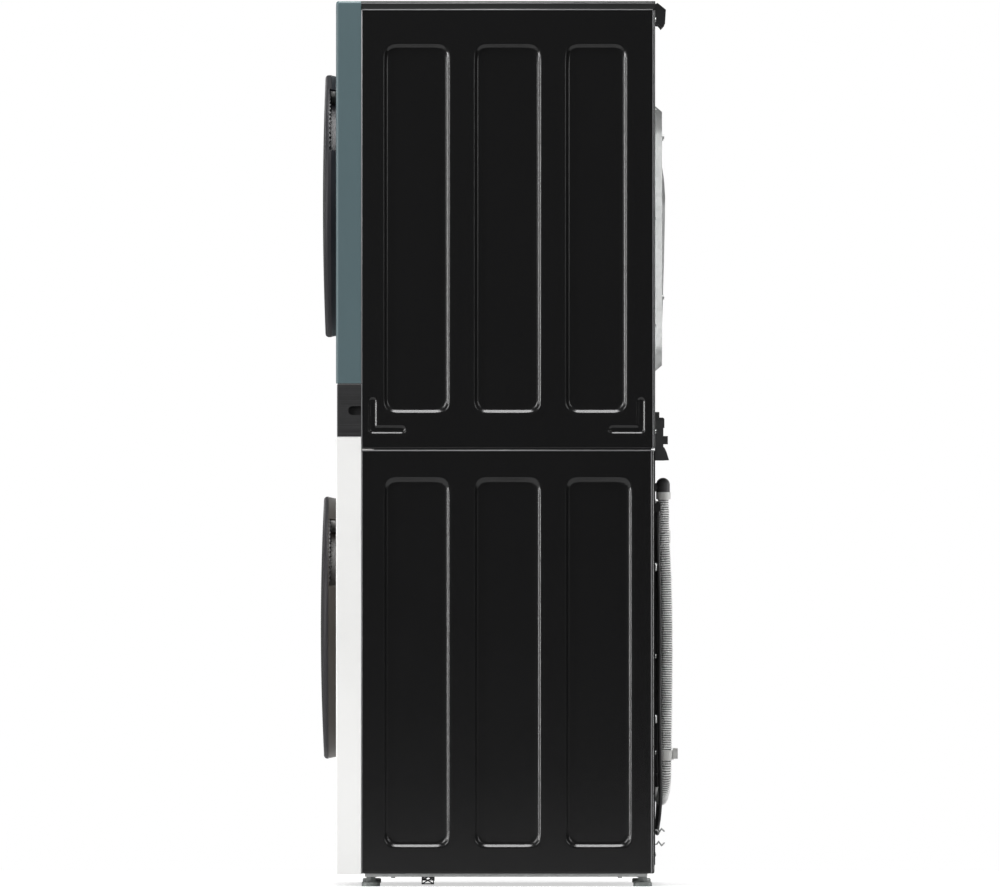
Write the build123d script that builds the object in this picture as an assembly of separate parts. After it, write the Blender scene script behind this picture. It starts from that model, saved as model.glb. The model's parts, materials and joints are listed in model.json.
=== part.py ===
from build123d import *
import os
from math import cos, pi, radians, sin, tan

# Laundry tower: a front-loading washer under a ventless heat-pump dryer in one cabinet.
# Millimetres, +Z up, front towards -Y. The origin is on the floor under the middle of the
# box, so X runs -300..300 and Y runs from the washer door's dome to the hose clip.

# ---------------------------------------------------------------- driving dimensions
half_width = 300.0
height = 1655.0
front_y = -304.6            # face of the front panels
panel_depth = 46.7          # front panels, front to back
back_y = 290.7              # rear edge of the side panels
sheet = 1.2                 # cabinet steel
skin = 2.0                  # front panels

cabinet_bottom = 24.0
side_split = 817.0          # joint between washer sides and dryer sides
washer_top = 840.0          # washer front panel's top edge
control_top = 940.0         # control panel's top edge
side_top = 1640.0           # underside of the top panel's lip
seam = 0.6                  # half of the gap between two neighbouring panels

door_radius = 246.0
door_back_y = -305.6        # back of both doors, 1 mm in front of the panels
washer_axis_z = 482.2
dryer_axis_z = 1273.7
washer_dome_y = -334.6
dryer_dome_y = -330.6
washer_mouth = 178.0        # radius of the hole in each front panel
dryer_mouth = 196.0
pivot_x = -254.5            # door hinge line, just outside the door's left edge
pivot_y = -316.0
pivot_radius = 4.0
running_gap = 0.05          # radial, for a shaft in its bore

drum_neck = 256.5           # dryer drum, outer radius where it rides on the rollers
dryer_drum_radius = 271.5
roller_radius = 33.0
roller_axle_radius = 6.0
dryer_shaft_radius = 12.0
motor_x = -195.0
motor_z = 935.0
motor_shaft_radius = 7.0
pulley_radius = 14.0
belt_clearance = 0.4
belt_thickness = 2.0

tub_radius = 272.0
tub_wall = 4.0
washer_drum_radius = 250.0
washer_shaft_radius = 15.0

foot_radius = 17.5
foot_x = 262.0
foot_front_y = -239.6
foot_rear_y = 268.6
stud_radius = 5.0

hose_radius = 11.5
cord_radius = 3.9
rear_press_y = 285.0        # floor of the shallow pressing in the washer's rear panel

pump_x = -215.0
pump_z = 95.0
cap_plug_radius = 22.0

button_radius = 9.7
button_places = {
    "washer_power_button": -255.0,
    "washer_start_button": -220.0,
    "dryer_start_button": 220.0,
    "dryer_power_button": 255.0,
}
button_z = 890.0

# Drain hose: out of the elbow, down through the clip, across the back, up to its holder.
hose_route = [
    (225, 307.5, 724),
    (225, 307.5, 662),
    (225, 313, 565),
    (226, 314.5, 445),
    (225, 313.5, 340),
    (225, 312.3, 261),
    (224, 311.8, 217),
    (216, 310.5, 196),
    (201, 308.5, 179),
    (180, 306.8, 169),
    (138, 305.2, 164),
    (58, 304.4, 161),
    (-40, 304.2, 160),
    (-124, 304.6, 165),
    (-174, 305.4, 178),
    (-206, 306.8, 203),
    (-223, 307.8, 242),
    (-229, 308.8, 305),
    (-231, 309.4, 400),
    (-229, 309.0, 510),
    (-228, 308, 620),
    (-228, 308, 690),
]

# Power cord: down from its gland outside the hose, across under it, up to the stowed plug.
cord_route = [
    (256, 296.6, 694),
    (256, 296.6, 640),
    (257, 299.5, 560),
    (255, 300.5, 460),
    (257, 299.5, 360),
    (255, 300.5, 270),
    (256, 302, 200),
    (251, 302, 160),
    (232, 299.5, 128),
    (200, 297, 112),
    (150, 296.5, 104),
    (74, 297.5, 98),
    (-8, 297, 95),
    (-92, 297.5, 99),
    (-156, 297, 108),
    (-204, 298.5, 125),
    (-238, 300, 153),
    (-255, 301, 195),
    (-261, 302, 255),
    (-258, 302.5, 345),
    (-260, 303, 440),
    (-260, 303, 510),
]

panel_back = front_y + panel_depth
side_front = panel_back + 0.5
control_face_y = front_y + 1.9


# ---------------------------------------------------------------- shape helpers
def block(x_span, y_span, z_span):
    """Box between two limits on each axis."""
    spans = (x_span, y_span, z_span)
    centre = [(low + high) / 2 for low, high in spans]
    size = [high - low for low, high in spans]
    return Pos(*centre) * Box(*size)


def disc_y(radius, y_span, x=0.0, z=0.0):
    """Round bar along Y."""
    low, high = y_span
    return Pos(x, (low + high) / 2, z) * Rot(90, 0, 0) * Cylinder(radius, high - low)


def ring_y(outer, inner, y_span, x=0.0, z=0.0):
    """Round tube along Y."""
    low, high = y_span
    return disc_y(outer, y_span, x, z) - disc_y(inner, (low - 1, high + 1), x, z)


def disc_z(radius, z_span, x=0.0, y=0.0):
    """Round bar along Z."""
    low, high = z_span
    return Pos(x, y, (low + high) / 2) * Cylinder(radius, high - low)


def turned_y(outline, x=0.0, z=0.0):
    """Body of revolution about a line along Y, from (radius, y) points."""
    face = make_face(Polyline(*outline, close=True))
    return Pos(x, 0, z) * revolve(face, Axis.Y)


def rod(start, end, radius):
    """Round bar between two points."""
    line = Vector(*end) - Vector(*start)
    place = Plane(origin=start, z_dir=line)
    return place * Cylinder(radius, line.length, align=(Align.CENTER, Align.CENTER, Align.MIN))


def wedge_y(first_deg, last_deg, reach, y_span, z):
    """Pie slice in the XZ plane, angles counted from +X towards +Z."""
    corners = [(0, 0)]
    for angle in (first_deg, last_deg):
        corners.append((reach * cos(radians(angle)), reach * sin(radians(angle))))
    face = Plane.XZ * make_face(Polyline(*corners, close=True))
    return Pos(0, y_span[1], z) * extrude(face, y_span[1] - y_span[0])


def mirrored(solid):
    """The same piece on the other side of the cabinet."""
    return mirror(solid, about=Plane.YZ)


def profile_x(outline, x_span):
    """Prism along X with a (y, z) outline."""
    face = Plane.YZ * make_face(Polyline(*outline, close=True))
    return Pos(x_span[0], 0, 0) * extrude(face, x_span[1] - x_span[0])


def cord_tube(points, radius):
    """Round tube of straight runs joined by tangent arcs, each as wide as its runs allow."""
    corners = [Vector(*point) for point in points]
    bends = []
    for before, corner, after in zip(corners, corners[1:], corners[2:]):
        arriving = corner - before
        leaving = after - corner
        turn = radians(arriving.get_angle(leaving))
        bends.append(0.45 * min(arriving.length, leaving.length) / tan(turn / 2))
    path = FilletPolyline(*corners, radius=bends)
    tube = sweep(Plane(origin=path @ 0, z_dir=path % 0) * Circle(radius), path=path)
    print("bend radii", [round(bend) for bend in bends])
    print("length", round(path.length), "volume ratio",
          round(tube.volume / (pi * radius ** 2 * path.length), 4))
    return tube


# ---------------------------------------------------------------- cabinet panels
press_depth = 6.0
press_corner = 24.0
ell_depth = 3.0
ell_width = 16.0
flange = 18.0
rear_corner = 5.0


def pressing(outline, depth):
    """Pocket and backing pad of one shape pressed into a right-hand side panel."""
    face = Plane.YZ.offset(half_width) * outline
    inwards = (-1, 0, 0)
    pocket = extrude(face, amount=depth, dir=inwards, taper=45)
    pad = Pos(-sheet, 0, 0) * pocket
    return pocket, pad


def pressed_rectangle(y_span, z_span):
    """Tall pressed panel with round corners."""
    centre = Pos((y_span[0] + y_span[1]) / 2, (z_span[0] + z_span[1]) / 2)
    size = (y_span[1] - y_span[0], z_span[1] - z_span[0])
    return centre * RectangleRounded(*size, press_corner)


def pressed_ell(corner_y, toe_y, z_low, z_high):
    """L shape with round ends: a leg up from the corner and a foot along to the toe."""
    towards = 1 if toe_y > corner_y else -1
    round_end = ell_width / 2 - 0.1
    leg_centre = Pos(corner_y + towards * ell_width / 2, (z_low + z_high) / 2)
    leg = leg_centre * RectangleRounded(ell_width, z_high - z_low, round_end)
    foot_centre = Pos((corner_y + toe_y) / 2, z_low + ell_width / 2)
    foot = foot_centre * RectangleRounded(abs(toe_y - corner_y), ell_width, round_end)
    return leg + foot


def side_panel(z_span, pressings):
    """Right-hand side sheet with returned front and rear edges and its pressed shapes."""
    outer = block((half_width - flange, half_width), (side_front, back_y), z_span)
    outer_edges = outer.edges().filter_by(Axis.Z).group_by(Axis.X)[-1].sort_by(Axis.Y)
    outer = fillet(outer_edges[-1:], rear_corner)
    inner_y = (side_front + sheet, back_y - sheet)
    inner = block((half_width - flange - 1, half_width - sheet), inner_y,
                  (z_span[0] - 1, z_span[1] + 1))
    inner_edges = inner.edges().filter_by(Axis.Z).group_by(Axis.X)[-1].sort_by(Axis.Y)
    inner = fillet(inner_edges[-1:], rear_corner - sheet)
    panel = outer - inner
    for pocket, pad in pressings:
        panel = panel + pad - pocket
    return panel


def dryer_side():
    tall = (884.0, 1575.6)
    shapes = [
        pressing(pressed_rectangle((-216.2, -91.2), tall), press_depth),
        pressing(pressed_rectangle((-47.2, 79.5), tall), press_depth),
        pressing(pressed_rectangle((123.4, 240.2), tall), press_depth),
        pressing(pressed_ell(-243.9, -173.8, 846.0, 915.0), ell_depth),
        pressing(pressed_ell(273.4, 204.1, 846.0, 915.0), ell_depth),
    ]
    return side_panel((side_split + 1, side_top), shapes)


def washer_side():
    tall = (72.0, 765.4)
    shapes = [
        pressing(pressed_rectangle((-216.2, -91.2), tall), press_depth),
        pressing(pressed_rectangle((-47.2, 79.5), tall), press_depth),
        pressing(pressed_rectangle((123.4, 249.4), tall), press_depth),
    ]
    return side_panel((cabinet_bottom, side_split - 1), shapes)


def top_panel():
    """Shallow lid whose lip stands flush over the side panels."""
    lid = block((-half_width, half_width), (panel_back + 0.5, back_y + 1.3),
                (side_top + 0.6, height))
    lid = fillet(lid.edges().group_by(Axis.Z)[-1].filter_by(Axis.Y), 2.0)
    inside = block((-half_width + sheet, half_width - sheet),
                   (panel_back + 0.5 + sheet, back_y + 1.3 - sheet),
                   (side_top - 1, height - sheet))
    return lid - inside


def hinge_recess(z):
    """Clear space round the hinge barrel and its arm, taken out of the door beside it."""
    barrel = disc_z(9.0, (z - 62, z + 62), pivot_x, pivot_y)
    return barrel + block((pivot_x, -234), (-319.4, door_back_y + 1), (z - 36.4, z + 36.4))


def front_shell(z_span, face_y, top_round):
    """Front panel: a face with returned edges, open at the back."""
    shell = block((-half_width, half_width), (face_y, panel_back), z_span)
    face_edges = shell.faces().sort_by(Axis.Y)[0].edges()
    top_edge = face_edges.sort_by(Axis.Z)[-1:]
    shell = fillet(top_edge, top_round)
    side_edges = shell.faces().sort_by(Axis.Y)[0].edges().filter_by(Axis.Z)
    shell = fillet(side_edges, min(top_round - 0.2, 5.0))
    inside = block((-half_width + skin, half_width - skin), (face_y + skin, panel_back + 1),
                   (z_span[0] + skin, z_span[1] - skin))
    return shell - inside


def latch_slot(z):
    return block((208, 222), (front_y - 1, front_y + skin + 1), (z - 13, z + 13))


def dryer_front_panel():
    panel = front_shell((control_top + seam, height), front_y, 5.6)
    mouth = disc_y(dryer_mouth, (front_y - 1, front_y + skin + 1), 0, dryer_axis_z)
    return panel - mouth - latch_slot(dryer_axis_z)


flap_x = (-284.0, -166.0)
flap_z = (46.0, 144.0)
drawer_x = (-278.0, -96.0)
drawer_z = (748.0, 806.0)
front_gap = 1.5


def widened(span, gap):
    return (span[0] - gap, span[1] + gap)


def washer_front_panel():
    panel = front_shell((22.4, washer_top - seam), front_y, 2.6)
    through = (front_y - 1, front_y + skin + 1)
    mouth = disc_y(washer_mouth, through, 0, washer_axis_z)
    flap_hole = block(widened(flap_x, front_gap), through, widened(flap_z, front_gap))
    drawer_hole = block(widened(drawer_x, front_gap), through, widened(drawer_z, front_gap))
    return panel - mouth - latch_slot(washer_axis_z) - flap_hole - drawer_hole


window_x = (-150.0, 150.0)
window_z = (862.0, 918.0)


def finger_scoop():
    """Closed cup behind the finger slot in the right-hand end of the control panel."""
    cup = block((284, half_width - skin), (-284, panel_back), (878.6, 900.4))
    return cup - block((286, half_width), (-282, panel_back + 1), (880.6, 898.4))


def control_panel():
    """Band between the two units, with a finger slot in each end and the button holes."""
    panel = front_shell((washer_top + seam, control_top - seam), control_face_y, 2.6)
    slot = block((half_width - skin - 1, half_width + 1), (-281.6, panel_back + 1), (881, 898))
    slot_edges = slot.edges().filter_by(Axis.X).group_by(Axis.Y)[0]
    slot = fillet(slot_edges, 8.0)
    panel = panel - slot - mirrored(slot)
    panel = panel + finger_scoop() + mirrored(finger_scoop())
    through = (control_face_y - 1, control_face_y + skin + 1)
    panel -= block(widened(window_x, 0.3), through, widened(window_z, 0.3))
    for x in button_places.values():
        panel -= disc_y(button_radius + 0.5, through, x, button_z)
    return panel


def display_window():
    pane = block(window_x, (control_face_y, control_face_y + 3), window_z)
    return pane + block((window_x[0] + 8, window_x[1] - 8),
                        (control_face_y + 3, control_face_y + 16),
                        (window_z[0] + 6, window_z[1] - 6))


def push_button(x):
    """Round button, flush with the control panel."""
    cap = disc_y(button_radius, (control_face_y, control_face_y + 14), x, button_z)
    front_edge = cap.edges().sort_by(Axis.Y)[0]
    return fillet(front_edge, 0.8)


def drum_bearing():
    """Bearing cup for the dryer drum's stub shaft, welded to the rear panel."""
    bore = dryer_shaft_radius + running_gap
    cup = ring_y(28, bore, (236, 262), 0, dryer_axis_z)
    cup += ring_y(84, 27, (258, 262), 0, dryer_axis_z)
    cup += ring_y(84, 80, (258, back_y), 0, dryer_axis_z)
    return cup


def dryer_rear_panel():
    panel = block((-292, 292), (back_y, back_y + 1.3), (side_split + 2, side_top - 2))
    vents = [disc_y(3.0, (back_y - 1, back_y + 3), x, z)
             for x in range(-120, 121, 20) for z in (1500, 1520, 1540)]
    return panel - vents + drum_bearing()


def washer_rear_panel():
    """Rear sheet, stiffened by one wide shallow pressing."""
    face = block((-292, 292), (back_y, back_y + 1.3), (40.0, side_split - 2))
    recess_outline = Pos(0, 430) * RectangleRounded(400, 560, 40)
    mouth = Plane.XZ.offset(-(back_y + 1.3)) * recess_outline
    depth = back_y + 1.3 - rear_press_y
    hollow = extrude(mouth, amount=depth, dir=(0, -1, 0), taper=45)
    pan = Pos(0, -sheet, 0) * hollow
    return face + pan - hollow


duct_depth = 13.4
duct_face_y = back_y + 1.3 + duct_depth


def duct_base():
    """Shallow lower layer of the duct cover."""
    outline = Pos(0, 1212) * RectangleRounded(360, 498, 60)
    rear_face = Plane.XZ.offset(-(back_y + 1.3))
    return extrude(rear_face * outline, amount=duct_depth, dir=(0, 1, 0), taper=40)


def duct_bulge():
    """Fan housing on the duct cover: steep at its top and tapering slowly to its foot."""
    base_y = back_y + 1.3
    side_view = profile_x([(base_y, 1366), (305, 1352), (309.6, 1322), (311.4, 1290),
                           (311.2, 1262), (309.2, 1170), (306.6, 1080), (304, 1010),
                           (base_y, 985)], (-160, 160))
    outline = Pos(0, 1176) * RectangleRounded(300, 376, 110)
    rear_view = extrude(Plane.XZ.offset(-base_y) * outline, amount=24, dir=(0, 1, 0), taper=25)
    return side_view & rear_view


def rear_duct_cover():
    """Galvanised cover over the dryer's rear air duct and its fan housing."""
    cover = duct_base() + duct_bulge()
    hollow = Pos(0, -1.5, 0) * cover
    return cover - hollow


def base_pan():
    """Floor sheet with two rails that the levelling feet screw into."""
    pan = block((-296, 296), (side_front + 2, back_y - 2), (cabinet_bottom, cabinet_bottom + 2))
    for side in (-1, 1):
        x_span = sorted((side * 250, side * 294))
        pan += block(x_span, (-250.6, 276.7), (18, cabinet_bottom))
        for y in (foot_front_y, foot_rear_y):
            pan += disc_z(9.0, (18, cabinet_bottom + 12), side * foot_x, y)
            pan -= disc_z(stud_radius + running_gap, (10, 60), side * foot_x, y)
    return pan


def levelling_foot(x, y):
    """Round metal foot with its lock nut and threaded stud."""
    pad = disc_z(foot_radius, (0, 8.6), x, y)
    pad = fillet(pad.edges().group_by(Axis.Z)[-1], 3.0)
    hexagon = Pos(x, y) * Plane.XY.offset(10.2) * RegularPolygon(9.6, 6)
    nut = extrude(hexagon, 7.4)
    return pad + disc_z(stud_radius, (8, 40), x, y) + nut


def rear_fasteners():
    """Screws, caps over the transit bolt holes, and the two wire hooks."""
    heads = Part()
    for side in (-1, 1):
        for z in (60, 250, 430, 720, 850, 1050, 1250, 1450, 1620):
            heads += disc_y(4.0, (back_y + 1.3, back_y + 3), side * 284, z)
        for z in (313, 597):
            cap = disc_y(8.0, (back_y + 1.3, back_y + 4.5), side * 278, z)
            heads += fillet(cap.edges().sort_by(Axis.Y)[-1], 2.0)
        for y in (-198, 226):
            heads += disc_z(4.0, (15.5, 18), side * 272, y)
    for x in (-160, 160):
        for z in (1102, 1402):
            heads += disc_y(4.0, (duct_face_y, duct_face_y + 4), x, z)
    return heads + cord_hooks()


def base_block(side):
    """Moulded block under the rail, pierced from side to side by four triangular holes."""
    x_span = sorted((side * 258, side * 288))
    outer = block(x_span, (-144.8, -121.4), (3.8, 18))
    inner = block(widened(x_span, 1), (-142.8, -123.4), (5.6, 16.4))
    body = outer - inner
    half_rib = 1.2
    for z_front, z_rear in ((5.0, 17.0), (17.0, 5.0)):
        body += profile_x([(-143.4, z_front - half_rib), (-122.8, z_rear - half_rib),
                           (-122.8, z_rear + half_rib), (-143.4, z_front + half_rib)], x_span)
    return body & outer


def panel_spacers():
    """Hooked spacers at the top of the back, strips between the sides, base blocks."""
    hook = [(292, 1651), (297.2, 1653), (312.6, 1640.5), (311, 1614), (304.5, 1606.5),
            (299, 1613), (292, 1614)]
    pieces = Part()
    for side in (-1, 1):
        pieces += profile_x(hook, sorted((side * 130, side * 180)))
        edge = sorted((side * 292, side * 299.6))
        pieces += block(edge, (side_front, -233.5), (side_split - 0.9, side_split + 0.9))
        inner = sorted((side * 291, side * 296))
        pieces += block(inner, (side_front + 2, back_y - 6), (side_split - 7, side_split + 7))
        pieces += base_block(side)
    return pieces


# ---------------------------------------------------------------- back of the machine
spigot_radius = 13.2
spigot_z = 843.0
spigot_places = (158.0, 206.0)
inlet_face_y = 307.5
inlet_floor_y = 296.0
elbow_x = hose_route[0][0]


def valve_housing():
    """Black inlet housing between the units: two sunk water inlets, a plug and a rain hood."""
    body_x = (132, 256)
    body = block(body_x, (back_y + 1.3, inlet_face_y), (796, 871))
    body = fillet(body.edges().filter_by(Axis.X).group_by(Axis.Z)[-1].sort_by(Axis.Y)[-1:], 3.0)
    body += block((150, 236), (back_y + 1.3, 300), (870, 887))
    upper = block((160, 226), (298, 309.6), (857, 876.6))
    rear_edges = upper.edges().filter_by(Axis.X).group_by(Axis.Y)[-1]
    body += fillet(rear_edges.sort_by(Axis.Z)[-1:], 4.0)
    body += profile_x([(inlet_face_y - 1, 821.5), (309.4, 820.6), (313.4, 812), (317.8, 798),
                       (317.8, 796.6), (inlet_face_y - 1, 796)], body_x)
    for x in spigot_places:
        body -= disc_y(spigot_radius + 4, (inlet_floor_y, 330), x, spigot_z)
        body += disc_y(spigot_radius, (inlet_floor_y - 1, inlet_face_y - 0.5), x, spigot_z)
        body -= disc_y(9.5, (inlet_floor_y, 330), x, spigot_z)
    plug = block((238, 250), (inlet_face_y - 1, 315.9), (826.5, 842.0))
    return body + plug


def cord_gland():
    """Moulded strain relief that turns the cord down along the back."""
    start = cord_route[0]
    boss = block((start[0] - 8, start[0] + 8), (back_y + 1.3, 302.5), (start[2] + 6, start[2] + 26))
    boss = fillet(boss.edges().filter_by(Axis.X).sort_by(Axis.Y)[-2:], 6.0)
    sleeve = disc_z(5.0, (start[2], start[2] + 8), start[0], start[1] + 0.4)
    return boss + sleeve


def drain_elbow():
    """Smooth dark elbow: out through the rear panel and down into the hose."""
    centre_y = hose_route[0][1] - 0.6
    centre_z = 751.0
    radius = 12.8
    bend = Pos(elbow_x, centre_y, centre_z) * Sphere(radius)
    inlet = disc_y(8.0, (back_y + 1.3, centre_y), elbow_x, centre_z - 5)
    outlet = disc_z(radius, (hose_route[0][2] + 13, centre_z), elbow_x, centre_y)
    spigot = disc_z(8.9, (hose_route[0][2], hose_route[0][2] + 14), elbow_x, hose_route[0][1])
    return bend + inlet + outlet + spigot


def hose_clips():
    """Band on the elbow, strap clip on the right and holder on the left."""
    start = hose_route[0]
    band = ring_z(13.6, 9.0, (start[2], start[2] + 13), start[0], start[1])
    clip_y = 312.1
    strap = ring_z(15.0, 12.2, (236, 254), 224.6, clip_y)
    strap += block((216, 232), (back_y + 1.3, clip_y - 12.6), (236, 254))
    strap += block((214, 234), (clip_y + 13, 334.6), (238, 258))
    end = hose_route[-1]
    holder = ring_z(15.0, 12.2, (640, 664), end[0], end[1])
    holder += block((-236, -220), (back_y + 1.3, end[1] - 12.6), (640, 664))
    holder += plug_clip()
    cap = disc_z(12.6, (end[2], end[2] + 16), end[0], end[1])
    return Part() + [band, strap, holder, cap]


def plug_clip():
    """Open clip that holds the stowed plug by its collar."""
    end = cord_route[-1]
    z_span = (end[2] + 3, end[2] + 11)
    clip = ring_z(9.0, 6.7, z_span, end[0], end[1])
    clip -= block((end[0] - 4, end[0] + 4), (end[1], end[1] + 12), widened(z_span, 1))
    return clip + block((end[0] - 5, end[0] + 5), (back_y + 1.3, end[1] - 7.5), z_span)


def ring_z(outer, inner, z_span, x, y):
    """Round tube along Z."""
    low, high = z_span
    return disc_z(outer, z_span, x, y) - disc_z(inner, (low - 1, high + 1), x, y)


def cord_hooks():
    """Two bent wire hooks low on the back."""
    wire = 1.4
    hooks = Part()
    for z, rise in ((105, -5), (79, 5)):
        points = [(276, back_y + 1.3, z), (276, 295, z), (276, 299, z + rise),
                  (276, 304, z - rise * 0.6), (276, 309, z + rise * 0.4)]
        hook = rod(points[0], points[1], wire)
        for first, last in zip(points[1:], points[2:]):
            hook += rod(first, last, wire)
        for point in points[1:]:
            hook += Pos(*point) * Sphere(wire)
        hooks += hook
    return hooks


def power_plug():
    """Moulded plug at the end of the cord, stowed upright behind the washer."""
    end = Vector(*cord_route[-1])
    collar = disc_z(6.5, (end.Z, end.Z + 14), end.X, end.Y)
    body = Pos(end.X, end.Y, end.Z + 31) * Box(26, 20, 36)
    body = fillet(body.edges().filter_by(Axis.Z), 6.0)
    blades = [block((end.X + x - 3.2, end.X + x + 3.2), (end.Y - 0.8, end.Y + 0.8),
                    (end.Z + 49, end.Z + 66)) for x in (-6.4, 6.4)]
    return collar + body + blades


# ---------------------------------------------------------------- doors
handle_deg = {"washer": (19.0, 57.0), "dryer": (25.0, 63.0)}
handle_depth_y = (-317.5, door_back_y + 1)
handle_floor = 214.0


def handle_pocket(name, z):
    """Finger space behind the door's upper right edge."""
    ring = ring_y(door_radius + 10, handle_floor, handle_depth_y, 0, z)
    return ring & wedge_y(*handle_deg[name], 400, handle_depth_y, z)


def door_cover(name, dome_y, rim_y, skirt_y, z):
    """Domed outer cover with a rounded rim."""
    wall = 3.0
    crown = door_radius - 7
    slope = 2 * (rim_y - dome_y) / crown
    inner_dome = dome_y + wall
    inner_rim = rim_y + wall + 1
    outline = [
        Spline((0, dome_y), (crown, rim_y), tangents=[(1, 0), (1, slope)]),
        ThreePointArc((crown, rim_y), (door_radius - 1.6, rim_y + 2.2), (door_radius, rim_y + 6)),
        Line((door_radius, rim_y + 6), (door_radius, skirt_y)),
        Line((door_radius, skirt_y), (door_radius - wall, skirt_y)),
        Line((door_radius - wall, skirt_y), (door_radius - wall, skirt_y - 2)),
        Line((door_radius - wall, skirt_y - 2), (crown - 2, inner_rim)),
        Spline((crown - 2, inner_rim), (0, inner_dome), tangents=[(-1, -slope), (-1, 0)]),
        Line((0, inner_dome), (0, dome_y)),
    ]
    cover = Pos(0, 0, z) * revolve(make_face(outline), Axis.Y)
    return cover - handle_pocket(name, z) - hinge_recess(z)


def door_ring(name, rim_y, skirt_y, rear_radius, inner_radius, z):
    """Frame behind the cover, with the hinge arm on its left and the latch hook on its right."""
    wall = 3.0
    front = rim_y + 5.2
    inside_skirt = door_radius - wall - 0.4
    outline = [(inner_radius, door_back_y), (rear_radius, door_back_y),
               (door_radius - 0.6, skirt_y + 0.5), (inside_skirt, skirt_y + 0.5),
               (inside_skirt, skirt_y - 1.6),
               (door_radius - wall - 14, front), (inner_radius, front)]
    ring = turned_y(outline, 0, z)
    ring = ring - handle_pocket(name, z) - hinge_recess(z)
    arm = block((pivot_x, -222), (-319, -313), (z - 36, z + 36))
    barrel = disc_z(7.0, (z - 36, z + 36), pivot_x, pivot_y)
    bore = disc_z(pivot_radius + running_gap, (z - 37, z + 37), pivot_x, pivot_y)
    hook = block((212, 218), (door_back_y - 1, -284), (z - 8, z + 8))
    hook += block((212, 218), (-290, -284), (z - 11, z + 8))
    return ring + arm + barrel - bore + hook


def washer_door_bowl():
    """Thick glass bowl that closes the mouth of the drum."""
    outline = [(0, -214), (96, -216), (112, -222), (118, -232), (150, -305), (174, -305.8),
               (174, -311), (145, -311), (112.5, -233), (108, -226), (94, -221), (0, -219)]
    return turned_y(outline, 0, washer_axis_z)


def dryer_door_liner():
    """Inner plug of the dryer door, open in the middle for its window."""
    outline = [(186, -305.8), (186, -264), (120, -264), (120, -268), (182, -268), (182, -305.8),
               (182, -309), (199.8, -309), (199.8, -305.8)]
    return turned_y(outline, 0, dryer_axis_z)


def dryer_door_window():
    outline = [(0, -262), (112, -264), (119.8, -264.2), (119.8, -270), (140, -270), (140, -274),
               (0, -274)]
    return turned_y(outline, 0, dryer_axis_z)


def door_hardware():
    """Hinge brackets with their pins on the left, lock housings behind the right-hand slots."""
    pieces = Part()
    for z in (washer_axis_z, dryer_axis_z):
        plate = block((-268, pivot_x + 7), (front_y - 2.4, front_y), (z - 58, z + 58))
        for low, high in ((z - 52, z - 37), (z + 37, z + 52)):
            plate += block((pivot_x - 7, pivot_x + 7), (pivot_y, front_y), (low, high))
            plate += disc_z(7.0, (low, high), pivot_x, pivot_y)
        plate -= disc_z(7.6, (z - 36.8, z + 36.8), pivot_x, pivot_y)
        plate += disc_z(pivot_radius, (z - 52, z + 52), pivot_x, pivot_y)
        lock = block((203, 232), (front_y + skin, -272), (z - 40, z + 40))
        lock -= block((208, 222), (front_y, -279), (z - 14, z + 13))
        pieces += [plate, lock]
    return pieces


# ---------------------------------------------------------------- dryer inside
roller_spread = radians(35)
roller_distance = drum_neck + belt_clearance + roller_radius
roller_x = roller_distance * sin(roller_spread)
roller_z = dryer_axis_z - roller_distance * cos(roller_spread)
filter_x = (-70.0, 70.0)
filter_y = (-253.5, -240.5)


def dryer_bulkhead():
    """Front wall of the dryer: collar to the door, lip for the drum, roller axles, filter duct."""
    plate = block((-288, 288), (-232, -230), (985, 1632))
    collar = disc_y(dryer_mouth + 2, (front_y + skin, -230), 0, dryer_axis_z)
    lip = ring_y(252, 249, (-230, -212), 0, dryer_axis_z)
    duct = block((-75, 75), (-257, -237), (985, 1094))
    body = plate + collar + duct
    body -= disc_y(dryer_mouth, (front_y, -229), 0, dryer_axis_z)
    body -= block(widened(filter_x, 0.6), widened(filter_y, 0.6), (983, 1110))
    body += lip
    for side in (-1, 1):
        body += disc_y(roller_axle_radius, (-231, -199), side * roller_x, roller_z)
    return body


def lifter(radius, reach, width, y_span, z, angle):
    """Tapered paddle on the inside of a drum."""
    base = radius - 1
    top = radius - reach
    outline = [(base - 4, -width / 2), (top, -width / 6), (top, width / 6), (base - 4, width / 2)]
    face = Plane.XZ * make_face(Polyline(*outline, close=True))
    bar = Pos(0, y_span[1], 0) * extrude(face, y_span[1] - y_span[0])
    foot = block((base - 5, base + 0.5), y_span, (-width / 4, width / 4))
    return Pos(0, 0, z) * Rot(0, angle, 0) * (bar + foot)


def dryer_drum():
    """Necked steel drum, closed at the rear, with three paddles and a rear stub shaft."""
    wall = 1.5
    shell = turned_y([
        (drum_neck - wall, -224), (drum_neck, -224), (drum_neck, -200.6),
        (dryer_drum_radius, -190.6), (dryer_drum_radius, 216.6), (262.6, 226.5),
        (dryer_shaft_radius, 226.5), (dryer_shaft_radius, 262), (0, 262), (0, 225),
        (262, 225), (dryer_drum_radius - wall, 216), (dryer_drum_radius - wall, -190),
        (drum_neck - wall, -200)], 0, dryer_axis_z)
    for angle in (30, 150, 270):
        shell += lifter(dryer_drum_radius, 42, 48, (-180, 205), dryer_axis_z, angle)
    return shell


def drum_roller(side):
    return ring_y(roller_radius, roller_axle_radius + running_gap, (-221, -203),
                  side * roller_x, roller_z)


def belt_loop(drum_radius, wheel_radius, y_span):
    drum = Pos(0, dryer_axis_z) * Circle(drum_radius)
    wheel = Pos(motor_x, motor_z) * Circle(wheel_radius)
    outline = make_hull(drum.edges() + wheel.edges())
    return Pos(0, y_span[1], 0) * extrude(Plane.XZ * outline, y_span[1] - y_span[0])


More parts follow.
